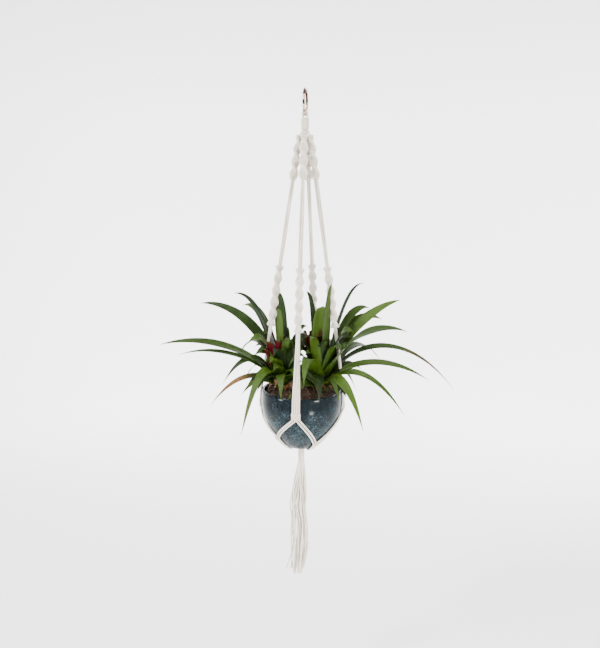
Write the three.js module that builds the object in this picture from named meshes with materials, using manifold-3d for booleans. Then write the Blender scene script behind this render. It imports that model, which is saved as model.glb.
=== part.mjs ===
// Hanging macrame planter: a metal ring, a four-legged knotted cord hanger that ends in a
// tassel, a glazed pot in its net, and two bromeliads in potting mix.
// Millimetres, +Z up. The origin is the top of the ring's eye, where a hook bears.
import * as THREE from 'three';
import * as BufferGeometryUtils from 'three/addons/utils/BufferGeometryUtils.js';
import Module from 'manifold-3d';

// Ring
const RING_EYE_R = 21.5;
const RING_WIRE_R = 2.5;

// Cord and the clearances between pieces
const CORD_R = 1.9;
const GAP = 0.35;
const SEAT_GAP = 0.5;

// Loops over the ring, whipping and gathering knot
const LOOP_CLEARANCE = 0.4;
const LOOP_THICKNESS = 3.8;
const LOOP_SPREAD = 0.38;
const LOOP_MOUTH = 2.6;
const TOP_WRAP_R = 8.4;
const TOP_WRAP_H = 23;
const TOP_KNOT_R = 9.4;
const TOP_KNOT_H = 8;

// Legs: their places round the hanger and the heights at which the knotting changes
const LEGS = { front: -90, right: 0, back: 76, left: 180 };
const LEG_TOP_R = 10.6;
const UPPER_TWIST_H = 88;
const PLAIN_H = 174;
const LOWER_TWIST_H = 128;
const TWIST_W = 15.6;
const TWIST_T = 11;
const TWIST_PITCH = 51.4;
const TWIST_START = 0.66;
const TWIST_GROW_H = 32;
const BUNDLE_W = 7.8;
const BAND_W = 16.6;

// Pot
const RIM_Z = -609;
const RIM_R = 86;
const BELLY_R = 87.5;
const BELLY_DEPTH = 27;
const BASE_R = 34;
const POT_H = 125;
const POT_WALL = 5.5;
const POT_FLOOR = 7;
const SOIL_DEPTH = 12;

// Net on the pot: depths are below the rim
const FORK_DEPTH = 27;
const FORK_KNOT_W = 20;
const FORK_KNOT_H = 16;
const FORK_KNOT_T = 6;
const NET_INNER_EXIT = CORD_R * 1.08;
const NET_OUTER_EXIT = CORD_R * 4.68;
const NET_INNER_LANDING = CORD_R * 4.11;
const NET_OUTER_LANDING = CORD_R * 1.26;
const JOIN_DEPTHS = { front_right: 103, right_back: 97, back_left: 97, left_front: 93 };
const JOIN_AZIMUTHS = { front_right: -51, right_back: 38, back_left: 128, left_front: 227 };
const JOIN_KNOT_W = 15;
const JOIN_KNOT_H = 11;
const JOIN_KNOT_T = 6.5;
const BASE_BAND_W = 12;
const BASE_BAND_END_R = 9.5;
const BASE_BAND_END_W = 8.6;

// Whipping and tassel under the pot
const BOTTOM_WRAP_R = 7;
const BOTTOM_WRAP_H = 36;
const BOTTOM_WRAP_DROP = 5.6;
const TASSEL_LENGTH = 268;
const TASSEL_TOP_R = 6.4;
const TASSEL_R = 17;

// Plants
const PLANT_INSET = 46.5;
const PLANT_SPREAD = RIM_R - PLANT_INSET;
const CROWN_R = 21;
const CROWN_CLEARANCE = 3.5;
const CROWN_FLARE_R = PLANT_SPREAD - CROWN_CLEARANCE;
const CROWN_H = 78;
const HEART_R = 20;
const HEART_H = 88;
const LEAF_T = 1.7;
const LEAF_STATIONS = 9;

// A leaf rises from its crown and arches in one upright plane, which turns by `sweep` on the
// way out. [direction, reach, rise, height of the tip, width, sweep], degrees and millimetres.
const LEFT_LEAVES = [
  [206, 259, 112, 112, 15, -9],
  [147, 205, 150, 182, 19, 19],
  [150, 124, 160, 176, 19, 0],
  [157, 125, 170, 208, 12, 6],
  [128, 62, 165, 198, 10, 0],
  [206, 132, 98, 26, 16, -4],
  [214, 166, 62, -8, 10, 0],
  [243, 136, 92, -58, 17, -3],
  [232, 20, 150, 184, 17, 0],
  [86, 48, 180, 214, 17, 0],
  [100, 165, 120, 60, 18, 6],
  [133, 190, 115, 48, 17, 0],
  [62, 150, 120, 66, 16, 0],
  [298, 92, 76, 40, 14, 0],
  [262, 70, 70, 66, 20, 0],
  [216, 224, 96, 84, 10, -24],
];
const RIGHT_LEAVES = [
  [-38, 30, 180, 242, 15, 0],
  [36, 112, 190, 232, 8, 4],
  [98, 36, 150, 184, 27, 0],
  [30, 122, 160, 178, 19, 5],
  [38, 160, 178, 196, 25, -30],
  [-34, 180, 140, 150, 23, 22],
  [38, 136, 150, 158, 22, -14],
  [30, 278, 134, 26, 11, -31],
  [-32, 236, 98, 62, 13, 12],
  [-40, 204, 88, -4, 11, 10],
  [-52, 150, 74, -36, 17, 2],
  [-38, 34, 92, 104, 24, 0],
  [254, 121, 96, 44, 21, -4],
  [226, 86, 100, 74, 14, 0],
  [80, 158, 118, 52, 18, 0],
  [47, 192, 112, 46, 17, 4],
  [118, 140, 122, 70, 16, 0],
  [128, 66, 170, 214, 12, 0],
];

const Z_AXIS = new THREE.Vector3(0, 0, 1);
const wasm = await Module();
wasm.setup();

const planter = new THREE.Group();

const finish = {
  bronze: { color: 0x3b2a18, roughness: 0.45, metalness: 0.9 },
  cord: { color: 0xf2ebdd, roughness: 0.9, metalness: 0 },
  glaze: { color: 0x34505c, roughness: 0.15, metalness: 0 },
  soil: { color: 0x2a1a10, roughness: 1, metalness: 0 },
  leaf: { color: 0x3f7a22, roughness: 0.4, metalness: 0 },
};

function add(name, geometry, surface) {
  const mesh = new THREE.Mesh(geometry, new THREE.MeshStandardMaterial(finish[surface]));
  mesh.name = name;
  planter.add(mesh);
  return mesh;
}

// Joins closed rings of points into one closed skin with a fan at each end.
function loft(rings) {
  const n = rings[0].length;
  const positions = rings.flat().flatMap((p) => [p.x, p.y, p.z]);
  const index = [];
  for (let i = 0; i + 1 < rings.length; i += 1) {
    for (let j = 0; j < n; j += 1) {
      const a = i * n + j;
      const b = i * n + ((j + 1) % n);
      index.push(a, b, b + n, a, b + n, a + n);
    }
  }
  const last = (rings.length - 1) * n;
  for (let j = 1; j + 1 < n; j += 1) {
    index.push(0, j + 1, j, last, last + j, last + j + 1);
  }
  const geometry = new THREE.BufferGeometry();
  geometry.setAttribute('position', new THREE.Float32BufferAttribute(positions, 3));
  geometry.setIndex(index);
  return geometry;
}

// A flat-sided section with cut corners, laid along `points`: `across` and `out` give its axes.
function band(points, across, out, width, thickness) {
  const rings = points.map((p, i) => {
    const a = across[i];
    const o = out[i];
    const w = width[i] / 2;
    const t = thickness / 2;
    const corner = t * 0.6;
    const section = [
      [w, t - corner], [w - corner, t], [corner - w, t], [-w, t - corner],
      [-w, corner - t], [corner - w, -t], [w - corner, -t], [w, corner - t],
    ];
    return section.map(([u, v]) => p.clone().addScaledVector(a, u).addScaledVector(o, v));
  });
  return loft(rings);
}

const radial = (azimuth) => new THREE.Vector3(Math.cos(azimuth), Math.sin(azimuth), 0);
const around = (azimuth) => new THREE.Vector3(-Math.sin(azimuth), Math.cos(azimuth), 0);

// The pot's outer wall: a soft lip, a full belly and a round turn in to the foot.
function potRadius(depth) {
  if (depth < BELLY_DEPTH) {
    return RIM_R + (BELLY_R - RIM_R) * Math.sin((Math.PI / 2) * (depth / BELLY_DEPTH));
  }
  const below = Math.min((depth - BELLY_DEPTH) / (POT_H - BELLY_DEPTH), 1);
  return BASE_R + (BELLY_R - BASE_R) * (1 - below ** 1.75) ** 0.8;
}

// The outward normal of the pot's wall, as [radial, vertical].
function potNormal(depth) {
  const step = 0.5;
  const low = Math.min(depth + step, POT_H - 0.2);
  const high = Math.max(depth - step, 0);
  const slope = (potRadius(high) - potRadius(low)) / (low - high);
  const length = Math.hypot(1, slope);
  return [1 / length, -slope / length];
}

// A point over the pot's wall, `off` millimetres out from its surface.
function overPot(azimuth, depth, off) {
  const [nr, nz] = potNormal(depth);
  const r = potRadius(depth) + nr * off;
  return radial(azimuth).multiplyScalar(r).setZ(RIM_Z - depth + nz * off);
}

function overPotOut(azimuth, depth) {
  const [nr, nz] = potNormal(depth);
  return radial(azimuth).multiplyScalar(nr).setZ(nz);
}

// ---- Ring and what is tied to it
const RING_R = RING_EYE_R + RING_WIRE_R;
const RING_CENTRE_Z = -RING_EYE_R;
const RING_FOOT_Z = RING_CENTRE_Z - RING_R;

function hangingRing() {
  const ring = add('hanging_ring', new THREE.TorusGeometry(RING_R, RING_WIRE_R, 10, 40), 'bronze');
  ring.rotation.y = Math.PI / 2;
  ring.position.z = RING_CENTRE_Z;
}

// The folded cords: a saddle round the ring's foot, open below where the cords run down.
function ringLoop() {
  const inner = RING_WIRE_R + LOOP_CLEARANCE;
  const outer = inner + LOOP_THICKNESS;
  const arc = 10;
  const stations = 7;
  const rings = [];
  for (let i = 0; i < stations; i += 1) {
    const turn = LOOP_SPREAD * ((2 * i) / (stations - 1) - 1);
    const down = new THREE.Vector3(0, Math.sin(turn), -Math.cos(turn));
    const centre = down.clone().multiplyScalar(RING_R).setX(0);
    centre.z += RING_CENTRE_Z;
    const place = (r, a) => centre.clone().addScaledVector(down, -r * Math.cos(a)).setX(r * Math.sin(a));
    const ring = [];
    for (let j = 0; j <= arc; j += 1) {
      ring.push(place(outer, LOOP_MOUTH * ((2 * j) / arc - 1)));
    }
    for (let j = arc; j >= 0; j -= 1) {
      ring.push(place(inner, LOOP_MOUTH * ((2 * j) / arc - 1)));
    }
    rings.push(ring);
  }
  return rings;
}

// A saddle's section is hollow, so its ends are strips between the two arcs and not fans.
function saddle(rings) {
  const n = rings[0].length;
  const index = [];
  for (let i = 0; i + 1 < rings.length; i += 1) {
    for (let j = 0; j < n; j += 1) {
      const a = i * n + j;
      const b = i * n + ((j + 1) % n);
      index.push(a, b, b + n, a, b + n, a + n);
    }
  }
  const last = (rings.length - 1) * n;
  for (let j = 0; j + 1 < n / 2; j += 1) {
    const k = n - 1 - j;
    index.push(j, k, k - 1, j, k - 1, j + 1);
    index.push(last + j, last + k - 1, last + k, last + j, last + j + 1, last + k - 1);
  }
  const geometry = new THREE.BufferGeometry();
  const positions = rings.flat().flatMap((p) => [p.x, p.y, p.z]);
  geometry.setAttribute('position', new THREE.Float32BufferAttribute(positions, 3));
  geometry.setIndex(index);
  return geometry;
}

const TOP_WRAP_Z = RING_FOOT_Z - RING_WIRE_R - LOOP_CLEARANCE - LOOP_THICKNESS - GAP;
const TOP_KNOT_Z = TOP_WRAP_Z - TOP_WRAP_H - GAP;
const LEG_TOP_Z = TOP_KNOT_Z - TOP_KNOT_H - GAP;

// A turned piece given by [radius, height] points from its foot to its top.
function turned(name, profile, surface, segments) {
  const points = profile.map(([r, z]) => new THREE.Vector2(r, z));
  const geometry = new THREE.LatheGeometry(points, segments);
  geometry.rotateX(Math.PI / 2);
  return add(name, geometry, surface);
}

function whipping(name, top, height, r) {
  const bevel = 1.4;
  const foot = top - height;
  turned(name, [
    [0, foot], [r - bevel, foot], [r, foot + bevel],
    [r, top - bevel], [r - bevel, top], [0, top],
  ], 'cord', 16);
}

function gatheringKnot() {
  const foot = TOP_KNOT_Z - TOP_KNOT_H;
  turned('top_knot', [
    [0, foot], [TOP_KNOT_R - 2, foot], [TOP_KNOT_R, foot + 2.5],
    [TOP_KNOT_R, TOP_KNOT_Z - 2.5], [TOP_KNOT_R - 2, TOP_KNOT_Z], [0, TOP_KNOT_Z],
  ], 'cord', 16);
}

// ---- Legs
// Each leg runs straight from the gathering knot to the outside of the rim.
const RIM_CORD_R = RIM_R + SEAT_GAP + CORD_R;

function legPoint(azimuth, z) {
  const share = (LEG_TOP_Z - z) / (LEG_TOP_Z - RIM_Z);
  const r = LEG_TOP_R + (RIM_CORD_R - LEG_TOP_R) * share;
  return radial(azimuth).multiplyScalar(r).setZ(z);
}

function legAxis(azimuth) {
  return legPoint(azimuth, LEG_TOP_Z).sub(legPoint(azimuth, RIM_Z)).normalize();
}

// A spiral of half knots: an oval bar that turns about the leg as it goes down.
function spiral(name, azimuth, top, height, growing) {
  const foot = legPoint(azimuth, top - height);
  const head = legPoint(azimuth, top);
  const length = head.distanceTo(foot);
  const oval = new THREE.Shape();
  oval.absellipse(0, 0, TWIST_W / 2, TWIST_T / 2, 0, Math.PI * 2);
  const steps = Math.round(length / 8);
  const geometry = new THREE.ExtrudeGeometry(oval, {
    depth: length, steps, bevelEnabled: false, curveSegments: 5,
  });
  const place = geometry.attributes.position;
  for (let i = 0; i < place.count; i += 1) {
    const below = length - place.getZ(i);
    const grown = TWIST_START + (1 - TWIST_START) * Math.min(below / TWIST_GROW_H, 1);
    const size = growing ? grown : 1;
    const turn = (2 * Math.PI * below) / TWIST_PITCH;
    const x = place.getX(i) * size;
    const y = place.getY(i) * size;
    place.setX(i, x * Math.cos(turn) - y * Math.sin(turn));
    place.setY(i, x * Math.sin(turn) + y * Math.cos(turn));
  }
  const bar = add(name, geometry, 'cord');
  bar.quaternion.setFromUnitVectors(Z_AXIS, legAxis(azimuth));
  bar.position.copy(foot);
}

// The four cords of a leg lie in a square bundle, then side by side in a flat band.
function legBand(name, azimuth, stops) {
  const points = stops.map((s) => s.point);
  const across = stops.map(() => around(azimuth));
  const out = stops.map((s) => s.out ?? radial(azimuth));
  const width = stops.map((s) => s.width);
  add(name, band(points, across, out, width, 2 * CORD_R), 'cord');
}

function plainCords(name, azimuth, top, height) {
  const foot = legPoint(azimuth, top - height);
  const side = BUNDLE_W / 2;
  const cut = 1.2;
  const section = new THREE.Shape([
    [side, cut - side], [side, side - cut], [side - cut, side], [cut - side, side],
    [-side, side - cut], [-side, cut - side], [cut - side, -side], [side - cut, -side],
  ].map(([x, y]) => new THREE.Vector2(x, y)));
  const depth = legPoint(azimuth, top).distanceTo(foot);
  const geometry = new THREE.ExtrudeGeometry(section, { depth, steps: 1, bevelEnabled: false });
  const bar = add(name, geometry, 'cord');
  bar.quaternion.setFromUnitVectors(Z_AXIS, legAxis(azimuth));
  bar.position.copy(foot);
}

const PLAIN_Z = LEG_TOP_Z - UPPER_TWIST_H - GAP;
const LOWER_TWIST_Z = PLAIN_Z - PLAIN_H - GAP;
const DROP_Z = LOWER_TWIST_Z - LOWER_TWIST_H - GAP;
const CORD_OFF = SEAT_GAP + CORD_R;

function dropCords(name, azimuth) {
  const stops = [];
  const spread = (z) => {
    const share = (DROP_Z - z) / (DROP_Z - RIM_Z);
    return BUNDLE_W + (BAND_W - BUNDLE_W) * share ** 1.3;
  };
  for (let i = 0; i <= 4; i += 1) {
    const z = DROP_Z + ((RIM_Z - DROP_Z) * i) / 4;
    stops.push({ point: legPoint(azimuth, z), width: spread(z) });
  }
  for (let i = 1; i <= 3; i += 1) {
    const depth = ((FORK_DEPTH - GAP) * i) / 3;
    const width = BAND_W + ((FORK_KNOT_W - 3 - BAND_W) * i) / 3;
    stops.push({ point: overPot(azimuth, depth, CORD_OFF), width });
  }
  legBand(name, azimuth, stops);
}

// A flat knot that lies on the pot, `width` across and `height` down the wall.
function knotOnPot(name, azimuth, depth, width, height, thickness) {
  const stops = [0, 0.22, 0.5, 0.78, 1].map((share) => {
    const d = depth + height * share;
    const waist = share === 0 || share === 1 ? 0.84 : 1;
    return { d, width: width * waist };
  });
  const points = stops.map((s) => overPot(azimuth, s.d, SEAT_GAP + thickness / 2));
  const out = stops.map((s) => overPotOut(azimuth, s.d));
  const across = stops.map(() => around(azimuth));
  add(name, band(points, across, out, stops.map((s) => s.width), thickness), 'cord');
}

// ---- Net on the pot
const FORK_FOOT = FORK_DEPTH + FORK_KNOT_H;

// Depth change per millimetre of path, so that a knot of a given height keeps its size.
function alongWall(depth, distance) {
  const [nr] = potNormal(depth + distance / 2);
  return depth + distance * nr;
}

// A cord meets its knots at a slant, so its square end needs room for one corner.
const SLANT_ROOM = GAP + CORD_R * 0.8;

// One of the two cords from a fork knot's foot down to a joining knot's head.
function netCord(name, from, to, exit, landing, joinDepth) {
  const start = { azimuth: from + exit / potRadius(FORK_FOOT), depth: FORK_FOOT + SLANT_ROOM };
  const end = { azimuth: to - landing / potRadius(joinDepth), depth: joinDepth - SLANT_ROOM };
  const points = [];
  for (let i = 0; i <= 8; i += 1) {
    const t = i / 8;
    const azimuth = start.azimuth + (end.azimuth - start.azimuth) * t;
    const depth = start.depth + (end.depth - start.depth) * t;
    points.push(overPot(azimuth, depth, CORD_OFF));
  }
  const path = new THREE.CatmullRomCurve3(points);
  const section = new THREE.Shape();
  section.absarc(0, 0, CORD_R, 0, Math.PI * 2);
  const geometry = new THREE.ExtrudeGeometry(section, {
    extrudePath: path, steps: 8, curveSegments: 4, bevelEnabled: false,
  });
  add(name, geometry, 'cord');
}

// The four cords below a joining knot: down the wall, round the foot and in to the middle.
function baseCords(name, azimuth, startDepth) {
  const stops = [];
  const fall = 5;
  for (let i = 0; i <= fall; i += 1) {
    const depth = startDepth + ((POT_H - 2 - startDepth) * i) / fall;
    stops.push({ point: overPot(azimuth, depth, CORD_OFF), out: overPotOut(azimuth, depth) });
  }
  const down = new THREE.Vector3(0, 0, -1);
  const baseZ = RIM_Z - POT_H - CORD_OFF;
  const corner = radial(azimuth).multiplyScalar(BASE_R - 1).setZ(RIM_Z - POT_H);
  const cornerOut = radial(azimuth).add(down).normalize();
  corner.addScaledVector(cornerOut, CORD_OFF + GAP);
  stops.push({ point: corner, out: cornerOut });
  const underR = [BASE_R - 5, (BASE_R + BASE_BAND_END_R) / 2, BASE_BAND_END_R];
  underR.forEach((r) => {
    stops.push({ point: radial(azimuth).multiplyScalar(r).setZ(baseZ), out: down });
  });
  const width = stops.map((s, i) => {
    const share = i / (stops.length - 1);
    return BASE_BAND_W + (BASE_BAND_END_W - BASE_BAND_W) * share ** 2;
  });
  const across = stops.map(() => around(azimuth));
  const geometry = band(stops.map((s) => s.point), across, stops.map((s) => s.out), width, 2 * CORD_R);
  add(name, geometry, 'cord');
}

function hanger() {
  const degree = Math.PI / 180;
  add('ring_loop', saddle(ringLoop()), 'cord');
  whipping('top_wrap', TOP_WRAP_Z, TOP_WRAP_H, TOP_WRAP_R);
  gatheringKnot();
  Object.entries(LEGS).forEach(([side, angle]) => {
    const azimuth = angle * degree;
    spiral(`upper_twist_${side}`, azimuth, LEG_TOP_Z, UPPER_TWIST_H, true);
    plainCords(`plain_cords_${side}`, azimuth, PLAIN_Z, PLAIN_H);
    spiral(`lower_twist_${side}`, azimuth, LOWER_TWIST_Z, LOWER_TWIST_H, false);
    dropCords(`drop_cords_${side}`, azimuth);
    knotOnPot(`fork_knot_${side}`, azimuth, FORK_DEPTH, FORK_KNOT_W, FORK_KNOT_H, FORK_KNOT_T);
  });
  Object.entries(JOIN_AZIMUTHS).forEach(([pair, angle]) => {
    const azimuth = angle * degree;
    const depth = JOIN_DEPTHS[pair];
    const foot = alongWall(depth, JOIN_KNOT_H);
    knotOnPot(`join_knot_${pair}`, azimuth, depth, JOIN_KNOT_W, foot - depth, JOIN_KNOT_T);
    baseCords(`base_cords_${pair}`, azimuth, foot + GAP);
    pair.split('_').forEach((side) => {
      const turn = Math.round((angle - LEGS[side]) / 360) * 360;
      const from = (LEGS[side] + turn) * degree;
      const hand = Math.sign(azimuth - from);
      const name = `net_cord_${side}_to_${pair}`;
      netCord(`${name}_upper`, from, azimuth, hand * NET_OUTER_EXIT, hand * NET_OUTER_LANDING, depth);
      netCord(`${name}_lower`, from, azimuth, hand * NET_INNER_EXIT, hand * NET_INNER_LANDING, depth);
    });
  });
}

// ---- Whipping and tassel under the pot
const BOTTOM_WRAP_Z = RIM_Z - POT_H - BOTTOM_WRAP_DROP;
const TASSEL_Z = BOTTOM_WRAP_Z - BOTTOM_WRAP_H - GAP;

function tassel() {
  const foot = TASSEL_Z - TASSEL_LENGTH;
  turned('tassel', [
    [0, foot], [TASSEL_R - 6, foot], [TASSEL_R, foot + 24], [TASSEL_R - 1, foot + TASSEL_LENGTH * 0.55],
    [TASSEL_TOP_R + 3, TASSEL_Z - 40], [TASSEL_TOP_R, TASSEL_Z - TASSEL_TOP_R],
    [TASSEL_TOP_R * 0.87, TASSEL_Z - TASSEL_TOP_R * 0.5], [TASSEL_TOP_R * 0.5, TASSEL_Z - TASSEL_TOP_R * 0.13],
    [0, TASSEL_Z],
  ], 'cord', 14);
}

// ---- Pot and potting mix
function pot() {
  const floorDepth = POT_H - POT_FLOOR;
  const lip = POT_WALL / 2;
  const outside = [];
  const inside = [];
  const steps = 8;
  for (let i = 0; i <= steps; i += 1) {
    const depth = lip + (POT_H - 1 - lip) * (i / steps);
    outside.push([potRadius(depth), RIM_Z - depth]);
  }
  for (let i = 0; i <= steps; i += 1) {
    const depth = lip + (floorDepth - lip) * (i / steps);
    inside.push([innerRadius(depth), RIM_Z - depth]);
  }
  const rim = [0.25, 0.5, 0.75].map((share) => {
    const turn = Math.PI * share;
    const middle = RIM_R - lip;
    return [middle - lip * Math.cos(turn), RIM_Z - lip + lip * Math.sin(turn)];
  });
  const foot = [[0, RIM_Z - POT_H], [BASE_R - 1, RIM_Z - POT_H]];
  const profile = [...foot, ...outside.reverse(), ...rim.reverse(), ...inside, [0, RIM_Z - floorDepth]];
  turned('pot', profile, 'glaze', 32);
}

function innerRadius(depth) {
  const floorDepth = POT_H - POT_FLOOR;
  const scaled = (depth / floorDepth) * (POT_H - 12);
  return potRadius(scaled) - POT_WALL;
}

function soil() {
  const floorDepth = POT_H - POT_FLOOR - SEAT_GAP;
  const steps = 5;
  const wall = [];
  for (let i = 0; i <= steps; i += 1) {
    const depth = SOIL_DEPTH + (floorDepth - SOIL_DEPTH) * (i / steps);
    wall.push([innerRadius(depth) - SEAT_GAP - 0.4, RIM_Z - depth]);
  }
  turned('soil', [[0, RIM_Z - floorDepth], ...wall.reverse(), [0, RIM_Z - SOIL_DEPTH]], 'soil', 32);
}

// ---- Bromeliads
const SOIL_Z = RIM_Z - SOIL_DEPTH;

// One leaf: a flat blade that is widest a third of the way out and ends in a point.
function leafRings([direction, reach, rise, tip, width, sweep]) {
  const degree = Math.PI / 180;
  const line = new THREE.CubicBezierCurve(
    new THREE.Vector2(3, 10),
    new THREE.Vector2(6 + reach * 0.12, rise * 0.7),
    new THREE.Vector2(reach * 0.56, rise * 1.3),
    new THREE.Vector2(reach, tip),
  );
  const rings = [];
  for (let i = 0; i < LEAF_STATIONS; i += 1) {
    const t = i / (LEAF_STATIONS - 1);
    const p = line.getPoint(t);
    const slope = line.getTangent(t);
    const azimuth = (direction + sweep * t) * degree;
    const across = around(azimuth);
    const up = radial(azimuth).multiplyScalar(-slope.y).setZ(slope.x);
    const place = radial(azimuth).multiplyScalar(p.x).setZ(p.y);
    const body = Math.min(0.62 + 1.3 * t, 1) * Math.max(1 - t ** 3.2, 0.05);
    const half = (width / 2) * body;
    rings.push([
      place.clone().addScaledVector(up, LEAF_T / 2),
      place.clone().addScaledVector(across, -half),
      place.clone().addScaledVector(up, -LEAF_T / 2),
      place.clone().addScaledVector(across, half),
    ]);
  }
  return rings;
}

function toSolid(geometry) {
  const bare = geometry.clone();
  bare.deleteAttribute('normal');
  bare.deleteAttribute('uv');
  const merged = BufferGeometryUtils.mergeVertices(bare, 1e-4);
  const solid = new wasm.Manifold(new wasm.Mesh({
    numProp: 3,
    vertProperties: new Float32Array(merged.attributes.position.array),
    triVerts: new Uint32Array(merged.index.array),
  }));
  return solid;
}

function fromSolid(solid) {
  const mesh = solid.getMesh();
  const geometry = new THREE.BufferGeometry();
  geometry.setAttribute('position', new THREE.BufferAttribute(new Float32Array(mesh.vertProperties), 3));
  geometry.setIndex(new THREE.BufferAttribute(new Uint32Array(mesh.triVerts), 1));
  return geometry;
}

// The crown that the leaves grow from, with the red heart standing in it.
function crown() {
  const points = [
    [0, 0.6], [CROWN_R - 3, 0.6], [CROWN_R, 8], [(CROWN_R + CROWN_FLARE_R) / 2, CROWN_H * 0.55],
    [CROWN_FLARE_R, CROWN_H], [HEART_R, HEART_H - 4], [HEART_R * 0.6, HEART_H], [0, HEART_H - 10],
  ].map(([r, z]) => new THREE.Vector2(r, z));
  const geometry = new THREE.LatheGeometry(points, 12);
  geometry.rotateX(Math.PI / 2);
  return geometry;
}

function bromeliad(name, x, leaves) {
  const foot = new THREE.Vector3(x, 0, SOIL_Z);
  const parts = [crown(), ...leaves.map((leaf) => loft(leafRings(leaf)))];
  const solids = parts.map((part) => toSolid(part.translate(...foot.toArray())));
  add(name, fromSolid(wasm.Manifold.union(solids)), 'leaf');
}

hangingRing();
hanger();
whipping('bottom_wrap', BOTTOM_WRAP_Z, BOTTOM_WRAP_H, BOTTOM_WRAP_R);
tassel();
pot();
soil();
bromeliad('left_bromeliad', -PLANT_SPREAD, LEFT_LEAVES);
bromeliad('right_bromeliad', PLANT_SPREAD, RIGHT_LEAVES);

export default planter;
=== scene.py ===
import math

import bmesh
import bpy
import numpy as np
from mathutils import Matrix, Vector, noise


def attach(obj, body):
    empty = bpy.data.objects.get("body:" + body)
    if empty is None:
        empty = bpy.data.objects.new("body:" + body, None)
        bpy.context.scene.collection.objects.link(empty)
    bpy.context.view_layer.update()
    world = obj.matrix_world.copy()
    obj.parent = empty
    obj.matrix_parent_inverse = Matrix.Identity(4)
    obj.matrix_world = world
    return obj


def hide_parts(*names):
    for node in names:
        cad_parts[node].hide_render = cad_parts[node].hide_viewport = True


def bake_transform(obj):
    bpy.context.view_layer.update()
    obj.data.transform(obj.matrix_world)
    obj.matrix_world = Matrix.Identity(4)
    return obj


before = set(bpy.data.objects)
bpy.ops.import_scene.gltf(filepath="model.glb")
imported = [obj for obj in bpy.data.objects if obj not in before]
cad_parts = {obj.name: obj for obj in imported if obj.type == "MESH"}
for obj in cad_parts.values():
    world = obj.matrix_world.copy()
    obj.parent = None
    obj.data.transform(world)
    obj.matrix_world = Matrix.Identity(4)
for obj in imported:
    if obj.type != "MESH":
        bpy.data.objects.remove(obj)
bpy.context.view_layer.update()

# ---- Camera
# It stands 1.3 m from the planter at the height of the upper legs, looks down a little, and
# is turned to the planter's right so that the ring is seen nearly edge-on.
CAMERA_TURN = math.radians(8)
CAMERA_DISTANCE = 1.3
CAMERA_SIDESTEP = 0.0059
CAMERA_HEIGHT = -0.2353
CAMERA_PITCH = math.radians(79.8)
CAMERA_ROLL = math.radians(0.6)

lens = bpy.data.cameras.new("camera")
lens.lens = 34.8
lens.sensor_width = 36
camera = bpy.data.objects.new("camera", lens)
bpy.context.scene.collection.objects.link(camera)
turned = Matrix.Rotation(CAMERA_TURN, 4, "Z")
stands = turned @ Vector((-CAMERA_SIDESTEP, -CAMERA_DISTANCE, 0))
stands.z = CAMERA_HEIGHT
looks = turned @ Matrix.Rotation(CAMERA_PITCH, 4, "X") @ Matrix.Rotation(CAMERA_ROLL, 4, "Z")
camera.matrix_world = Matrix.Translation(stands) @ looks
bpy.context.scene.camera = camera

# ---- Hanging ring
# A round bronze wire bent into a ring, with a dark patina and bright rubbed patches. These are partly
# painted reflection: the near-black patina also stands in for the dark reflections on the polished
# metal, and the bright patches for its highlights.
# The whole planter hangs from it; a hook goes through its eye.
RING_R = 24.0
RING_WIRE_R = 2.5
RING_CENTRE_Z = -21.5
RING_STATIONS = 120
RING_SIDES = 20
HAMMERING = 0.035
MM = 0.001


class Shade:
    """A value on its way through a finish: sums and products of it add their Math nodes."""

    def __init__(self, tree, socket):
        self.tree = tree
        self.socket = socket

    def node(self, kind, inputs, out=0, **settings):
        made = self.tree.nodes.new(kind)
        for key, value in settings.items():
            setattr(made, key, value)
        for key, value in inputs.items():
            if isinstance(value, Shade):
                self.tree.links.new(value.socket, made.inputs[key])
            else:
                made.inputs[key].default_value = value
        return Shade(self.tree, made.outputs[out])

    def sum_of(self, operation, first, second):
        return self.node("ShaderNodeMath", {0: first, 1: second}, operation=operation)

    def __add__(self, other):
        return self.sum_of("ADD", self, other)

    __radd__ = __add__

    def __mul__(self, other):
        return self.sum_of("MULTIPLY", self, other)

    __rmul__ = __mul__

    def __sub__(self, other):
        return self.sum_of("SUBTRACT", self, other)

    def __rsub__(self, other):
        return self.sum_of("SUBTRACT", other, self)

    def between(self, low, high):
        """0 where this is low or less, 1 where it is high or more, and smooth between."""
        inputs = {"Value": self, "From Min": low, "From Max": high}
        return self.node("ShaderNodeMapRange", inputs, interpolation_type="SMOOTHSTEP")

    def colour(self, low, high):
        """The colour low where this is 0, and high where it is 1."""
        low, high = (c if isinstance(c, Shade) else (*c, 1) for c in (low, high))
        inputs = {0: self, 6: low, 7: high}
        return self.node("ShaderNodeMix", inputs, out=2, data_type="RGBA")

    def noise(self, scale, detail=3.0, roughness=0.5):
        """Cloudy noise at this place, `scale` clouds to the metre."""
        inputs = {"Vector": self, "Scale": scale, "Detail": detail, "Roughness": roughness}
        return self.node("ShaderNodeTexNoise", inputs)

    def stretched(self, x, y, z):
        inputs = {0: self, 1: (x, y, z)}
        return self.node("ShaderNodeVectorMath", inputs, operation="MULTIPLY")

    def relief(self, strength, depth):
        """The surface raised by this value, `depth` metres at its most."""
        inputs = {"Height": self, "Strength": strength, "Distance": depth}
        return self.node("ShaderNodeBump", inputs)


class Finish:
    """A material: its shader's own numbers, the place on the piece, and what varies over it."""

    def __init__(self, name, **numbers):
        self.material = bpy.data.materials.new(name)
        self.material.use_nodes = True
        tree = self.material.node_tree
        self.shader = tree.nodes["Principled BSDF"]
        for key, value in numbers.items():
            self.shader.inputs[key.replace("_", " ")].default_value = value
        self.place = Shade(tree, None).node("ShaderNodeTexCoord", {}, out="Object")

    def mark(self, name):
        """A number that the maker has written on each point of the piece."""
        return self.place.node("ShaderNodeAttribute", {}, out="Fac", attribute_name=name)

    def lay(self, **varying):
        for key, value in varying.items():
            socket = self.shader.inputs[key.replace("_", " ")]
            value.tree.links.new(value.socket, socket)


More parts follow.
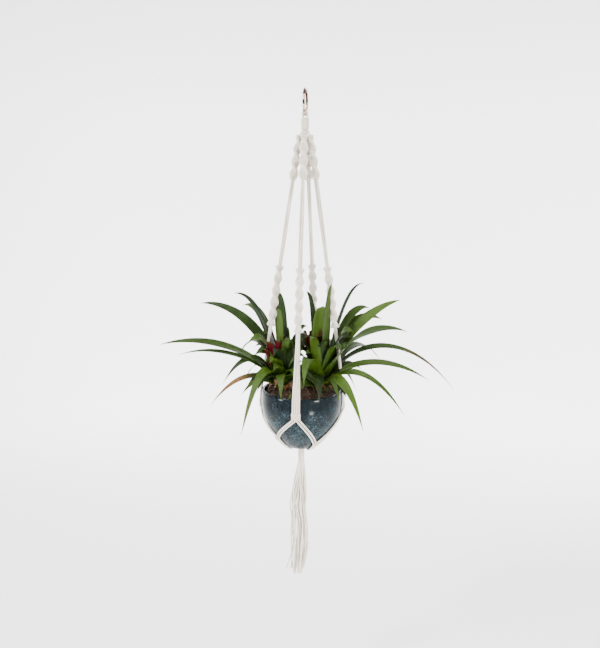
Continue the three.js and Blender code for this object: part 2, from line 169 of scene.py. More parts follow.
class Piece:
    """One mesh in the making, in millimetres: rings of points are laid into it as skins."""

    def __init__(self, name):
        self.name = name
        self.points = []
        self.faces = []
        self.marks = []
        self.count = 0

    def skin(self, rings, closed=False, **marks):
        rings = np.asarray(rings, float)
        rows, around = rings.shape[:2]
        index = self.count + np.arange(rows * around).reshape(rows, around)
        near = index if closed else index[:-1]
        far = np.roll(index, -1, 0) if closed else index[1:]
        quads = np.stack([near, np.roll(near, -1, 1), np.roll(far, -1, 1), far], -1)
        self.faces += quads.reshape(-1, 4).tolist()
        if not closed:
            self.faces += [index[0][::-1].tolist(), index[-1].tolist()]
        self.points.append(rings.reshape(-1, 3))
        spread = {k: np.broadcast_to(v, (rows, around)).reshape(-1) for k, v in marks.items()}
        self.marks.append((rows * around, spread))
        self.count += rows * around

    def make(self, finish, slot):
        mesh = bpy.data.meshes.new(self.name)
        mesh.from_pydata((np.concatenate(self.points) * MM).tolist(), [], self.faces)
        for name in sorted({k for _, marks in self.marks for k in marks}):
            values = [marks.get(name, np.zeros(count)) for count, marks in self.marks]
            written = mesh.attributes.new(name, "FLOAT", "POINT")
            written.data.foreach_set("value", np.concatenate(values).astype(np.float32))
        form = bmesh.new()
        form.from_mesh(mesh)
        bmesh.ops.recalc_face_normals(form, faces=form.faces)
        form.to_mesh(mesh)
        form.free()
        mesh.shade_smooth()
        mesh.materials.append(finish.material)
        made = bpy.data.objects.new(self.name, mesh)
        bpy.context.scene.collection.objects.link(made)
        return made


old_bronze = Finish("old_bronze", Metallic=0.9)
# bright patches: partly rubbed bronze, partly painted highlights
rubbed_patches_and_highlights = old_bronze.place.noise(95, 2.5, 0.55).between(0.47, 0.56)
grain = old_bronze.place.noise(900, 3)
# near-black patina: partly real patina, partly painted dark reflection
patina_and_dark_reflection = grain.colour((0.010, 0.005, 0.003), (0.05, 0.026, 0.014))
old_bronze.lay(
    Base_Color=rubbed_patches_and_highlights.colour(patina_and_dark_reflection, (0.62, 0.44, 0.34)),
    Roughness=0.3 + grain * 0.35,
    Normal=(grain + rubbed_patches_and_highlights * 0.5).relief(0.35, 0.0003),
)

turns = np.linspace(0, 2 * math.pi, RING_STATIONS, endpoint=False)
section = np.linspace(0, 2 * math.pi, RING_SIDES, endpoint=False)
rings = []
for a in turns:
    r = RING_WIRE_R * (1 + HAMMERING * math.sin(9 * a + 1) * math.sin(5 * a))
    reach = RING_R + r * np.cos(section)
    across = r * np.sin(section)
    rings.append(np.stack([across, reach * math.sin(a), RING_CENTRE_Z - reach * math.cos(a)], 1))
ring = Piece("bronze_ring")
ring.skin(rings, closed=True)
ring = ring.make(old_bronze, "bronze_ring")
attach(ring, "ring")
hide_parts("hanging_ring")

# ---- Loops of cord over the ring
# Cotton cord, three plies twisted together, folded over the foot of the ring. The folds lie
# side by side on the wire, and their ends run down into the wrapping below.
CORD_R = 1.9
PLY_TURN = 11.5
CORD_STEP = 1.1
PLY_PROFILE = np.array([1.0, 0.95, 0.76, 0.95] * 3)
PLY_GROOVE = np.array([0.0, 0.3, 1.0, 0.3] * 3)
PLY_ANGLES = np.arange(12) * math.pi / 6
LOOP_TURNS = (-0.24, -0.08, 0.08, 0.24)
LOOP_SLACK = 0.4
LOOP_R = RING_WIRE_R + LOOP_SLACK + CORD_R
LOOP_HUG = 1.7
MOUTH_Z = -54.5
MOUTH_HALF_W = 3.6
MOUTH_GATHER = 0.62

cotton = Finish("cotton_cord", Sheen_Weight=0.35, Sheen_Roughness=0.6, Specular_IOR_Level=0.2)
groove = cotton.mark("groove")
soil_mark = cotton.place.noise(38, 3).between(0.35, 0.7)
fluff = cotton.place.noise(1500, 4, 0.6)
thread = cotton.place.stretched(1, 1, 0.35).noise(2600, 2)
# painted shade: the cord is darkened in the grooves between its plies, where shade falls, with some
# random fluff mottling
groove_shade_and_fluff = (groove * 0.85 + fluff * 0.25).between(0.05, 1.1)
clean = soil_mark.colour((0.82, 0.74, 0.63), (0.93, 0.875, 0.78))
cotton.lay(
    # the dark brown is the painted groove shade
    Base_Color=groove_shade_and_fluff.colour(clean, (0.36, 0.29, 0.21)),
    Roughness=0.82 + fluff * 0.15,
    Normal=(fluff * 0.6 + thread * 0.4).relief(0.55, 0.0005),
)


def evenly(path, step):
    """The path with a point every `step`, and how far along it each point is."""
    path = np.asarray(path, float)
    run = np.concatenate([[0], np.cumsum(np.linalg.norm(np.diff(path, axis=0), axis=1))])
    stations = np.linspace(0, run[-1], max(int(run[-1] / step), 3) + 1)
    return np.stack([np.interp(stations, run, path[:, k]) for k in range(3)], 1), stations


def smooth(stops, each=8):
    """A smooth line through the stops, with `each` points from one stop to the next."""
    stops = np.asarray(stops, float)
    p = np.concatenate([[2 * stops[0] - stops[1]], stops, [2 * stops[-1] - stops[-2]]])
    t = (np.arange(each) / each)[:, None]
    line = []
    for a, b, c, d in zip(p, p[1:], p[2:], p[3:]):
        bend = (2 * a - 5 * b + 4 * c - d) * t**2 + (3 * b - a - 3 * c + d) * t**3
        line.append(0.5 * (2 * b + (c - a) * t + bend))
    return np.concatenate([*line, stops[-1:]])


def lay_cord(piece, path, radius=CORD_R, start=0.0):
    """Lays one twisted cord into the piece along the path."""
    path, run = evenly(path, CORD_STEP)
    along = np.gradient(path, axis=0)
    along /= np.linalg.norm(along, axis=1, keepdims=True)
    side = np.empty_like(path)
    last = np.cross(along[0], (0.31, 0.52, 0.79))
    for i, t in enumerate(along):
        last = last - t * (last @ t)
        last = last / np.linalg.norm(last)
        side[i] = last
    other = np.cross(along, side)
    angle = (2 * math.pi * run / PLY_TURN + start)[:, None] + PLY_ANGLES
    x = (radius * PLY_PROFILE * np.cos(angle))[..., None]
    y = (radius * PLY_PROFILE * np.sin(angle))[..., None]
    piece.skin(path[:, None] + x * side[:, None] + y * other[:, None], groove=PLY_GROOVE)


loops = Piece("ring_loops")
for turn in LOOP_TURNS:
    down = np.array([0, math.sin(turn), -math.cos(turn)])
    wire = np.array([0, 0, RING_CENTRE_Z]) + down * RING_R
    side = np.array([1.0, 0, 0])
    over = [
        wire - down * LOOP_R * math.cos(a) + side * LOOP_R * math.sin(a)
        for a in np.linspace(-LOOP_HUG, LOOP_HUG, 11)
    ]
    mouths = [np.array([s * MOUTH_HALF_W, wire[1] * MOUTH_GATHER, MOUTH_Z]) for s in (-1, 1)]
    lay_cord(loops, smooth([mouths[0], *over, mouths[1]]), start=turn * 9)
loops = loops.make(cotton, "cotton_cord")
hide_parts("ring_loop")
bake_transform(loops)

# ---- Wrapping and gathering knot under the ring
# Thinner cord wound tightly round the whole bundle, and below it one thick turn pulled tight.
TOP_WRAP_Z = -52.55
TOP_WRAP_H = 23.0
TOP_WRAP_R = 8.4
TOP_KNOT_Z = -75.9
TOP_KNOT_H = 8.0
TOP_KNOT_R = 9.4
WHIP_R = 1.3
STATIONS_PER_ROUND = 28
CORE_CHAMFER = 1.2
CORE_END = 0.55


def turned_round(piece, profile, segments, **marks):
    """A round skin: each radius and height of the profile becomes a circle."""
    a = np.linspace(0, 2 * math.pi, segments, endpoint=False)
    circles = [np.stack([r * np.cos(a), r * np.sin(a), np.full(segments, z)], 1) for r, z in profile]
    piece.skin(circles, **marks)


def wind(piece, top, height, radius, cord_r):
    """Winds cord down round the bundle, turn against turn, over a core that hides the middle and is
    painted in the cords' groove shade.
    """
    rounds = (height - 2 * cord_r) / (2 * cord_r)
    t = np.linspace(0, rounds, int(rounds * STATIONS_PER_ROUND) + 2)
    r = radius - cord_r
    turn = 2 * math.pi * t
    helix = np.stack([r * np.cos(turn), r * np.sin(turn), top - cord_r - t * 2 * cord_r], 1)
    lay_cord(piece, helix, cord_r)
    core = radius - 1.2 * cord_r
    foot = top - height
    side = [(core, top - CORE_CHAMFER), (core, foot + CORE_CHAMFER)]
    profile = [(core * CORE_END, top - 0.2), *side, (core * CORE_END, foot + 0.2)]
    # groove=0.8 gives the core the dark groove colour: painted shade seen between the turns
    turned_round(piece, profile, 24, groove=0.8)


def hang(made, *nodes):
    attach(made, "hanger")
    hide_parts(*nodes)


wrap = Piece("top_wrapping")
wind(wrap, TOP_WRAP_Z, TOP_WRAP_H, TOP_WRAP_R, WHIP_R)
hang(wrap.make(cotton, "cotton_cord"), "top_wrap")
knot = Piece("top_gathering_knot")
wind(knot, TOP_KNOT_Z, TOP_KNOT_H, TOP_KNOT_R, TOP_KNOT_H / 4)
hang(knot.make(cotton, "cotton_cord"), "top_knot")

# ---- Legs: spirals of half knots and the plain cords between them
# Each leg has four cords. Two of them are tied round the other two in half knots, which turn
# into a spiral by themselves; then all four run plain, and are tied in a second spiral.
LEGS = {"front": -90, "right": 0, "back": 76, "left": 180}
LEG_TOP_Z = -84.25
LEG_TOP_R = 10.6
UPPER_TWIST_H = 88.0
PLAIN_Z = -172.6
PLAIN_H = 174.0
LOWER_TWIST_Z = -346.95
LOWER_TWIST_H = 128.0
DROP_Z = -475.3
RIM_Z = -609.0
RIM_R = 86.0
CORD_OFF = 2.4
TWIST_W = 18.4
TWIST_T = 10.6
TWIST_PITCH = 51.4
KNOTS_PER_TURN = 12
TWIST_START = 0.66
WORKED_CORD_R = 2.1
TWIST_GROW_H = 32.0
CORE_R = 2.6
UPPER_CORE_R = 2.2
PLAIN_R = 2.75
PLAIN_TUCK = 0.012
PLAIN_TWIST = 0.8
PLAIN_WANDER = 0.35


def radial(azimuth):
    return np.array([math.cos(azimuth), math.sin(azimuth), 0.0])


def around(azimuth):
    return np.array([-math.sin(azimuth), math.cos(azimuth), 0.0])


def leg_point(azimuth, z):
    share = (LEG_TOP_Z - z) / (LEG_TOP_Z - RIM_Z)
    return radial(azimuth) * (LEG_TOP_R + (RIM_R + CORD_OFF - LEG_TOP_R) * share) + (0, 0, z)


def tie_spiral(piece, azimuth, top, height, growing):
    """Half knots one under another: the two working cords swap sides at each as they turn."""
    head = leg_point(azimuth, top)
    foot = leg_point(azimuth, top - height)
    length = np.linalg.norm(head - foot)
    axis = (foot - head) / length
    wide = np.cross((0, 1, 0), axis)
    wide /= np.linalg.norm(wide)
    deep = np.cross(axis, wide)
    knot_h = TWIST_PITCH / KNOTS_PER_TURN
    knots = (length - 2 * CORD_R) / knot_h
    s = np.linspace(0, knots, int(knots * 14) + 1)
    for hand in (0, 1):
        pull = math.pi * (s + hand)
        below = CORD_R + knot_h * (s + 0.16 * np.sin(2 * pull))
        grown = TWIST_START + (1 - TWIST_START) * np.minimum(below / TWIST_GROW_H, 1)
        size = grown if growing else np.ones_like(s)
        x = (TWIST_W / 2 - CORD_R) * size * np.cos(pull)
        y = (TWIST_T / 2 - CORD_R) * size * np.sin(pull)
        turn = 2 * math.pi * below / TWIST_PITCH
        u = x * np.cos(turn) - y * np.sin(turn)
        v = x * np.sin(turn) + y * np.cos(turn)
        path = head + below[:, None] * axis - u[:, None] * wide + v[:, None] * deep
        lay_cord(piece, path, WORKED_CORD_R, start=2.1 * hand)
    lay_cord(piece, [head - axis, foot + axis], UPPER_CORE_R if growing else CORE_R)


def run_plain(piece, azimuth, turn):
    t = np.linspace(-PLAIN_TUCK, 1 + PLAIN_TUCK, 24)
    for k in range(4):
        corner = math.pi / 4 + k * math.pi / 2 + turn + PLAIN_TWIST * t
        wander = PLAIN_WANDER * np.sin(5 * t + 2 * k)
        path = []
        for q, c, w in zip(t, corner, wander):
            sideways = around(azimuth) * (PLAIN_R * math.cos(c) + w)
            outwards = radial(azimuth) * (PLAIN_R * math.sin(c) + w)
            path.append(leg_point(azimuth, PLAIN_Z - PLAIN_H * q) + sideways + outwards)
        lay_cord(piece, path, start=1.3 * k)


for number, (side_name, degrees) in enumerate(LEGS.items()):
    azimuth = math.radians(degrees)
    upper = Piece(f"upper_spiral_{side_name}")
    tie_spiral(upper, azimuth, LEG_TOP_Z, UPPER_TWIST_H, True)
    hang(upper.make(cotton, "cotton_cord"), f"upper_twist_{side_name}")
    plain = Piece(f"plain_run_{side_name}")
    run_plain(plain, azimuth, 0.4 * number)
    hang(plain.make(cotton, "cotton_cord"), f"plain_cords_{side_name}")
    lower = Piece(f"lower_spiral_{side_name}")
    tie_spiral(lower, azimuth, LOWER_TWIST_Z, LOWER_TWIST_H, False)
    hang(lower.make(cotton, "cotton_cord"), f"lower_twist_{side_name}")

# ---- Bands of cord beside the plants and knots on the pot
# Below each spiral the four cords open out side by side, bend over the pot's rim, and are
# tied flat in square knots from which the net's cords part.
BUNDLE_W = 7.8
BAND_W = 16.6
FORK_DEPTH = 27.0
FORK_KNOT_W = 20.0
FORK_KNOT_H = 16.0
FORK_KNOT_T = 6.0
FORK_TIES = 4
TIED_CORD = 0.27
FILLER_OFFSETS = (-0.36, -0.12, 0.12, 0.36)
SEAT_GAP = 0.5
BELLY_R = 87.5
BELLY_DEPTH = 27.0
BASE_R = 34.0
POT_H = 125.0


def pot_radius(depth):
    if depth < BELLY_DEPTH:
        return RIM_R + (BELLY_R - RIM_R) * math.sin(math.pi / 2 * depth / BELLY_DEPTH)
    below = min((depth - BELLY_DEPTH) / (POT_H - BELLY_DEPTH), 1)
    return BASE_R + (BELLY_R - BASE_R) * (1 - below**1.75) ** 0.8


def pot_normal(depth):
    low, high = min(depth + 0.5, POT_H), max(depth - 0.5, 0)
    slope = (pot_radius(high) - pot_radius(low)) / (low - high)
    length = math.hypot(1, slope)
    return 1 / length, -slope / length


def over_pot(azimuth, depth, off):
    nr, nz = pot_normal(depth)
    return radial(azimuth) * (pot_radius(depth) + nr * off) + (0, 0, RIM_Z - depth + nz * off)


def open_out(piece, azimuth):
    """Four cords from the bundle below the spiral to the flat band on the pot's wall."""
    for k in range(4):
        path = []
        for z in np.linspace(DROP_Z + 2, RIM_Z, 12):
            share = max(DROP_Z - z, 0) / (DROP_Z - RIM_Z)
            gap = (BUNDLE_W + (BAND_W - BUNDLE_W) * share**1.3 - 2 * CORD_R) / 3
            tuck = math.sqrt(max((2 * CORD_R) ** 2 - gap**2, 0)) / 2 * (-1) ** k
            sideways = around(azimuth) * (k - 1.5) * gap
            path.append(leg_point(azimuth, z) + sideways + radial(azimuth) * tuck)
        for depth in np.linspace(4, FORK_DEPTH + 2, 6):
            gap = (BAND_W - 2 * CORD_R) / 3
            path.append(over_pot(azimuth, depth, CORD_OFF) + around(azimuth) * (k - 1.5) * gap)
        lay_cord(piece, smooth(path, 5), start=1.7 * k)


def tie_flat(piece, azimuth, depth, width, height, thickness, ties):
    """Ties square knots on the pot's wall: one cord crosses in front and the other behind."""
    cord_r = thickness * TIED_CORD
    reach = width / 2 - cord_r
    middle = SEAT_GAP + thickness / 2
    s = np.linspace(0, ties, ties * 16 + 1)
    for hand in (1, -1):
        path = []
        for q in s:
            low = depth + cord_r + (height - 2 * cord_r) * (q / ties)
            low += 0.5 * math.sin(2 * math.pi * q)
            lift = hand * (thickness / 2 - cord_r) * abs(math.sin(math.pi * q)) ** 0.6
            sideways = around(azimuth) * hand * reach * math.cos(math.pi * q)
            path.append(over_pot(azimuth, low, middle + lift) + sideways)
        lay_cord(piece, path, cord_r)
    for offset in FILLER_OFFSETS:
        path = []
        for low in np.linspace(depth - 0.5, depth + height + 0.5, 8):
            path.append(over_pot(azimuth, low, middle - 0.3) + around(azimuth) * offset * width)
        lay_cord(piece, path, cord_r * 0.9)


for side_name, degrees in LEGS.items():
    azimuth = math.radians(degrees)
    drop = Piece(f"band_{side_name}")
    open_out(drop, azimuth)
    hang(drop.make(cotton, "cotton_cord"), f"drop_cords_{side_name}")
    fork = Piece(f"fork_tie_{side_name}")
    tie_flat(fork, azimuth, FORK_DEPTH, FORK_KNOT_W, FORK_KNOT_H, FORK_KNOT_T, FORK_TIES)
    hang(fork.make(cotton, "cotton_cord"), f"fork_knot_{side_name}")

# ---- Net on the pot
# From each fork two cords go to the left and two to the right. They meet the next leg's cords
# in a joining knot, and from there four cords run down and in under the pot.
FORK_FOOT = FORK_DEPTH + FORK_KNOT_H
SLANT_ROOM = 0.35 + CORD_R * 0.8
EXITS = {"upper": 8.9, "lower": 2.05}
LANDINGS = {"upper": 2.4, "lower": 7.8}
JOINS = {
    "front_right": (-51, 103), "right_back": (38, 97),
    "back_left": (128, 97), "left_front": (227, 93),
}
JOIN_KNOT_W = 15.0
JOIN_KNOT_H = 11.0
JOIN_KNOT_T = 6.5
JOIN_TIES = 3
NET_REACH = 0.025
BASE_CORD_R = 1.5
BASE_OFF = 2.4
BASE_TUCK = 0.5
CORNER_OFF = 2.8


def run_net(piece, leg, join, hand, row, depth):
    """One net cord, straight over the pot's wall from a fork knot to a joining knot."""
    start = leg + hand * EXITS[row] / pot_radius(FORK_FOOT)
    end = join - hand * LANDINGS[row] / pot_radius(depth)
    t = np.linspace(-NET_REACH, 1 + NET_REACH, 14)
    high, low = FORK_FOOT + SLANT_ROOM, depth - SLANT_ROOM
    path = [over_pot(start + (end - start) * q, high + (low - high) * q, CORD_OFF) for q in t]
    lay_cord(piece, smooth(path, 4))


def run_under(piece, azimuth, depth):
    """Four cords from a joining knot down the wall, round the foot and in to the wrapping."""
    out, base = radial(azimuth), (0, 0, RIM_Z - POT_H)
    corner = (out + (0, 0, -1)) / math.sqrt(2)
    for k in range(4):
        share = around(azimuth) * (k - 1.5)
        tuck = BASE_TUCK * (-1) ** k
        walls = np.linspace(depth, POT_H - 3, 7)
        path = [over_pot(azimuth, low, CORD_OFF) + share * 3.0 for low in walls]
        path.append(out * (BASE_R - 1) + base + corner * CORNER_OFF + share * 2.9)
        for r, gap in ((BASE_R - 7, 2.7), (20, 2.4), (11, 2.0)):
            path.append(out * r + share * gap + base + (0, 0, tuck - BASE_OFF))
        for r, gap, drop in ((6.2, 1.3, 3.2), (4.2, 1.0, 5.2)):
            path.append(out * r + share * gap + base - (0, 0, drop))
        lay_cord(piece, smooth(path, 6), BASE_CORD_R, start=k)


for pair, (degrees, depth) in JOINS.items():
    azimuth = math.radians(degrees)
    nr = pot_normal(depth + JOIN_KNOT_H / 2)[0]
    tie = Piece(f"join_tie_{pair}")
    tie_flat(tie, azimuth, depth, JOIN_KNOT_W, JOIN_KNOT_H * nr, JOIN_KNOT_T, JOIN_TIES)
    hang(tie.make(cotton, "cotton_cord"), f"join_knot_{pair}")
    under = Piece(f"base_run_{pair}")
    run_under(under, azimuth, depth + JOIN_KNOT_H * nr)
    hang(under.make(cotton, "cotton_cord"), f"base_cords_{pair}")
    for side_name in pair.split("_"):
        leg = math.radians(LEGS[side_name] + round((degrees - LEGS[side_name]) / 360) * 360)
        hand = math.copysign(1, azimuth - leg)
        for row in ("upper", "lower"):
            net = Piece(f"net_{side_name}_to_{pair}_{row}")
            run_net(net, leg, azimuth, hand, row, depth)
            hang(net.make(cotton, "cotton_cord"), f"net_cord_{side_name}_to_{pair}_{row}")

# ---- Wrapping under the pot
# All the cords meet under the pot and are wound together; this bundle can rock a little.
BOTTOM_WRAP_Z = -739.6
BOTTOM_WRAP_H = 36.0
BOTTOM_WRAP_R = 7.0
BOTTOM_WHIP_R = 1.2
ROCKING_ROOM = 1.5

wrap = Piece("bottom_wrapping")
wrap_top, wrap_h = BOTTOM_WRAP_Z - ROCKING_ROOM, BOTTOM_WRAP_H - ROCKING_ROOM
wind(wrap, wrap_top, wrap_h, BOTTOM_WRAP_R, BOTTOM_WHIP_R)
wrap = wrap.make(cotton, "cotton_cord")
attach(wrap, "whipping")
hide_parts("bottom_wrap")

# ---- Tassel
# The cords' free ends, cut off at uneven lengths. They hang limp from the wrapping's foot,
# spread as they fall, and wave a little because the cord keeps its set from the knots. One
# stray end stands off to the left.
STRANDS_IN_RING = (6, 12, 20)
TOP_RADII = (1.6, 3.6, 5.3)
WIDE_RADII = (4.2, 9.2, 14.2)
STRAND_R = 1.4
STRAY = 28
BOWED_FROM, BOWED_TO, BOW = 2.4, 4.2, 2.6
STRAND_TUCK = 2.2
BODY_LEAN = 5
STRAY_REACH = 20
TASSEL_Z = -775.95
TASSEL_LENGTH = 268.0

strand_cotton = Finish("tassel_cotton", Sheen_Weight=0.35, Sheen_Roughness=0.6, Specular_IOR_Level=0.2)
groove = strand_cotton.mark("groove")
tone = strand_cotton.mark("tone")
fluff = strand_cotton.place.noise(1400, 4, 0.6)
# painted shade: the strands are darkened in the grooves between their plies, where shade falls, with
# some random fluff mottling
groove_shade_and_fluff = (groove * 0.7 + fluff * 0.3).between(0.05, 1.15)
pale = tone.colour((0.75, 0.67, 0.55), (0.93, 0.875, 0.78))
strand_cotton.lay(
    # the dark brown is the painted groove shade
    Base_Color=groove_shade_and_fluff.colour(pale, (0.38, 0.31, 0.23)),
    Roughness=0.82 + fluff * 0.15,
    Normal=fluff.relief(0.5, 0.0005),
)

rng = np.random.default_rng(14)
for number in range(sum(STRANDS_IN_RING)):
    ring_number = 0 if number < 6 else 1 if number < 18 else 2
    in_ring = STRANDS_IN_RING[ring_number]
    azimuth = 2 * math.pi * (number + 0.35 * ring_number) / in_ring + rng.uniform(-0.12, 0.12)
    top_r = TOP_RADII[ring_number]
    wide_r = WIDE_RADII[ring_number] * rng.uniform(0.85, 1.12)
    bowed = ring_number == 2 and BOWED_FROM < azimuth % (2 * math.pi) < BOWED_TO
    foot = TASSEL_Z - TASSEL_LENGTH + rng.uniform(1, 20)
    phase = rng.uniform(0, 2 * math.pi, 4)
    amount = rng.uniform(0.7, 2.3)
    drift = rng.uniform(-0.35, 0.35)
    path = []
    for t in np.linspace(0, 1, 46):
        z = TASSEL_Z + STRAND_TUCK + (foot - TASSEL_Z - STRAND_TUCK) * t
        opened = min(t / 0.34, 1) ** 0.75
        swollen = 1 + 0.3 * math.exp(-(((t - 0.7) / 0.17) ** 2))
        swollen -= 0.2 * max((t - 0.8) / 0.2, 0) ** 2
        r = top_r + (wide_r - top_r) * opened * swollen
        r += BOW * math.sin(math.pi * t) * bowed
        a = azimuth + drift * t
        wave = amount * min(t / 0.2, 1)
        x = wave * (math.sin(9 * t + phase[0]) + 0.45 * math.sin(21 * t + phase[1]))
        y = wave * (math.sin(8 * t + phase[2]) + 0.45 * math.sin(19 * t + phase[3]))
        lean = math.sin(math.pi * max(t - 0.4, 0) / 0.6) - min(t / 0.4, 1) ** 1.5
        lean *= BODY_LEAN
        lean -= STRAY_REACH * (number == STRAY) * max((t - 0.72) / 0.28, 0) ** 1.5
        path.append(radial(a) * r + (x + lean, y, z))
    strand = Piece(f"tassel_strand_{number + 1:02}")
    line, run = evenly(smooth(path, 4), CORD_STEP)
    lay_cord(strand, line, STRAND_R, start=number)
    strand.marks[-1][1]["tone"] = np.full(strand.count, rng.uniform(0.2, 1))
    strand = strand.make(strand_cotton, "tassel_cord")
    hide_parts("tassel")
    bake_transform(strand)
    route = (line[::6] * MM).tolist() + [(line[-1] * MM).tolist()]

# ---- Pot
# Thrown stoneware with a rounded lip, a full belly and a narrow foot. The glossy glaze is nearly black
# where it is thick and blue-grey where it breaks, with fine pale flecks; it is also painted paler
# towards the foot, which is painted light.
POT_WALL = 5.5
POT_FLOOR = 7.0
POT_ROUND = 128
FOOT_HOLLOW = 1.5
MIDDLE_R = 0.5

glaze = Finish("mottled_glaze", IOR=1.45, Specular_IOR_Level=0.14)
clouds = glaze.place.stretched(1, 1, 0.8).noise(26, 5, 0.62)
flecks = glaze.place.noise(330, 4, 0.7)
pores = glaze.place.node("ShaderNodeTexVoronoi", {"Vector": glaze.place, "Scale": 260})
pores = pores.between(0.02, 0.28)
height = glaze.place.node("ShaderNodeSeparateXYZ", {0: glaze.place}, out=2)
# painted light: the glaze is painted paler towards the foot of the pot
lower = height.between((RIM_Z - 8) * MM, (RIM_Z - 75) * MM)
glaze_break_and_painted_light = (clouds + flecks * 0.9 + lower * 0.2 - 0.15).between(0.82, 1.22)
deep = flecks.colour((0.0008, 0.0016, 0.0024), (0.003, 0.008, 0.011))
pale_glaze = flecks.between(0.35, 0.75).colour((0.0025, 0.008, 0.0105), (0.045, 0.080, 0.092))
mottled = glaze_break_and_painted_light.colour(deep, pale_glaze)
glaze.lay(
    Base_Color=(pores * 0.6 + 0.4).colour((0.012, 0.018, 0.020), mottled),
    Roughness=0.06 + flecks * 0.08,
    Normal=(clouds * 0.5 + flecks * 0.2).relief(0.12, 0.0008),
)


def inner_radius(depth):
    return pot_radius(depth / (POT_H - POT_FLOOR) * (POT_H - 12)) - POT_WALL


lip = POT_WALL / 2
outside = [(pot_radius(d), RIM_Z - d) for d in np.linspace(lip, POT_H - 1, 40)]
rim_turn = [math.pi * q for q in np.linspace(0, 1, 12)[1:-1]]
rim = [(RIM_R - lip - lip * math.cos(q), RIM_Z - lip + lip * math.sin(q)) for q in rim_turn]
inside = [(inner_radius(d), RIM_Z - d) for d in np.linspace(lip, POT_H - POT_FLOOR - 0.5, 30)]
base_z = RIM_Z - POT_H
hollow_z = base_z + FOOT_HOLLOW
foot = [(MIDDLE_R, hollow_z), (BASE_R - 6, hollow_z), (BASE_R - 5, base_z), (BASE_R - 1, base_z)]
floor = (MIDDLE_R, base_z + POT_FLOOR)
pot = Piece("glazed_pot")
turned_round(pot, [*foot, *outside[::-1], *rim[::-1], *inside, floor], POT_ROUND)
pot = pot.make(glaze, "glazed_pot")
hang(pot, "pot")

# ---- Potting mix
# Dark damp bark and peat, heaped unevenly just below the rim, with chips of bark on top.
SOIL_Z = RIM_Z - 12.0
SOIL_ROUND = 72
SOIL_ROOM = 1.2
CHIPS_R = 74
CHIPS = 190
CHIP_SECTION = ((1, 0.1), (0.5, 0.6), (-0.5, 0.7), (-1, 0), (-0.5, -0.5), (0.5, -0.6))

damp_mix = Finish("potting_mix", Specular_IOR_Level=0.3)
crumbs = damp_mix.place.noise(260, 5, 0.7)
lumps = damp_mix.place.node("ShaderNodeTexVoronoi", {"Vector": damp_mix.place, "Scale": 190})
kind = damp_mix.mark("kind")
dark = crumbs.colour((0.008, 0.004, 0.002), (0.055, 0.028, 0.014))
damp_mix.lay(
    Base_Color=kind.colour(dark, (0.21, 0.11, 0.055)),
    Roughness=0.7 + crumbs * 0.25,
    Normal=(crumbs + lumps * 0.6).relief(0.9, 0.003),
)


def heap(x, y):
    """How high the mix stands here."""
    lumpy = noise.fractal(Vector((x * 0.06, y * 0.06, 3.1)), 0.9, 2.1, 4)
    crown = max(1 - math.hypot(x, y) / CHIPS_R, 0)
    return SOIL_Z + 2.0 * lumpy + 15.0 * crown**0.5 + 3.0


soil = Piece("potting_mix")
a = np.linspace(0, 2 * math.pi, SOIL_ROUND, endpoint=False)
rings = []
for r in np.linspace(1, inner_radius(12) - SOIL_ROOM, 40):
    circle = [(r * math.cos(q), r * math.sin(q)) for q in a]
    rings.append([(x, y, heap(x, y)) for x, y in circle])
for depth in (16, 40, 70, 100):
    r = inner_radius(depth) - SOIL_ROOM
    rings.append([(r * math.cos(q), r * math.sin(q), RIM_Z - depth) for q in a])
soil.skin(rings)
rng = np.random.default_rng(5)
for _ in range(CHIPS):
    r, q = CHIPS_R * math.sqrt(rng.uniform(0.01, 1)), rng.uniform(0, 2 * math.pi)
    x, y = r * math.cos(q), r * math.sin(q)
    place = np.array([x, y, heap(x, y) + rng.uniform(0.2, 1.6)])
    long, wide = rng.uniform(3, 8), rng.uniform(1.5, 3.5)
    spin, tilt = rng.uniform(0, 2 * math.pi), rng.uniform(-0.5, 0.5)
    u = np.array([math.cos(spin), math.sin(spin), tilt])
    v = np.array([-math.sin(spin), math.cos(spin), rng.uniform(-0.4, 0.4)])
    chip = []
    for t in np.linspace(-1, 1, 5):
        w = wide * (1 - 0.55 * t * t) * rng.uniform(0.7, 1.1)
        line = place + u * long * t / 2
        chip.append([line + v * w / 2 * c + (0, 0, s) for c, s in CHIP_SECTION])
    soil.skin(chip, kind=rng.uniform(0.05, 0.75))
soil = soil.make(damp_mix, "potting_mix")
hang(soil, "soil")

# ---- Bromeliads
# Two plants of channelled strap leaves that clasp one another at the foot and arch outwards.
# The heart leaves are crimson, the leaf bases pale yellow-green, and old tips are brown.
PLANT_SPREAD = 39.5
LEAF_ACROSS = np.array([-1, -0.72, -0.42, -0.16, 0, 0.16, 0.42, 0.72, 1])
LEAF_STATIONS = 44
LEAF_T = 0.8
LEAF_FULL = 1.45
LEAF_ROLL = 0.75
LEAF_WAVE = 1.6
SHEATH_W = 17.0
HEART_SHEATH_W = 9.0
HUSK_SHEATH_W = 20.0
YOUNG_LEAVES = 26
HUSKS = 13

